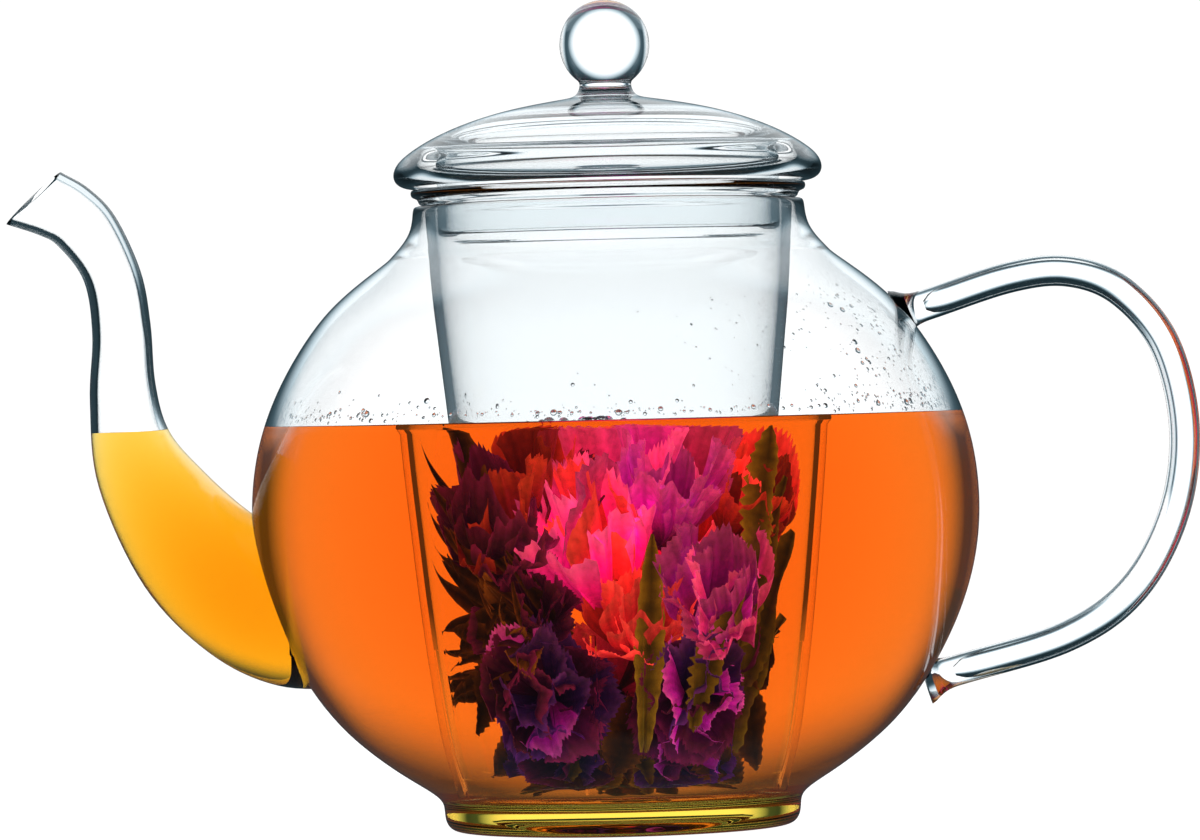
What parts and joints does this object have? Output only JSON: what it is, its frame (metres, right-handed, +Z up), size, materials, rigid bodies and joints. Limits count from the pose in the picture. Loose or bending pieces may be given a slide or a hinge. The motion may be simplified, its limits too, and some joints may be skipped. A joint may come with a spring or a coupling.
{
  "type": "glass teapot",
  "caption": "Round glass teapot with a curved spout, a hollow loop handle, a lift-out glass infuser holding a blossom of flowering tea, and a domed lid with a ball knob.",
  "frame": {"origin": "on the pot's axis, on the plane that its foot stands on", "axes": "+Z up along the pot's axis; +X towards the handle; the spout points along -X"},
  "size_m": [0.2377, 0.1456, 0.1656],
  "materials": {
    "glass": "clear fire-polished borosilicate glass",
    "tea": "clear amber liquid",
    "tea_leaf": "wet brown and olive tea leaves",
    "thread": "twisted cotton thread",
    "dark_petal": "wet dark purple petals",
    "pink_petal": "wet magenta petals with a serrated edge",
    "purple_petal": "wet purple petals",
    "red_petal": "wet red-orange petals"
  },
  "bodies": {
    "pot": {"pot_body": "glass", "pot_neck": "glass", "spout": "glass", "handle": "glass", "handle_upper_weld": "glass", "handle_lower_weld": "glass", "tea_in_pot": "tea", "tea_in_spout": "tea", "tea_in_infuser": "tea"},
    "infuser": {"infuser": "glass", "leaf_bundle": "tea_leaf", "bundle_neck": "tea_leaf", "binding_thread": "thread", "dark_flower": "dark_petal", "pink_carnation": "pink_petal", "purple_petals": "purple_petal", "red_petals": "red_petal", "navy_petals": "dark_petal", "needle_leaves": "tea_leaf", "front_petals": "red_petal"},
    "lid": {"lid_dome": "glass", "lid_skirt": "glass", "knob_stem": "glass", "knob": "glass"}
  },
  "joints": [
    {"name": "infuser_lift", "type": "slide", "parent": "pot", "child": "infuser", "axis": [0, 0, 1], "range_m": [0, 0.12], "deforming": ["tea_in_infuser"]},
    {"name": "lid_lift", "type": "slide", "parent": "infuser", "child": "lid", "axis": [0, 0, 1], "range_m": [0, 0.05]}
  ]
}
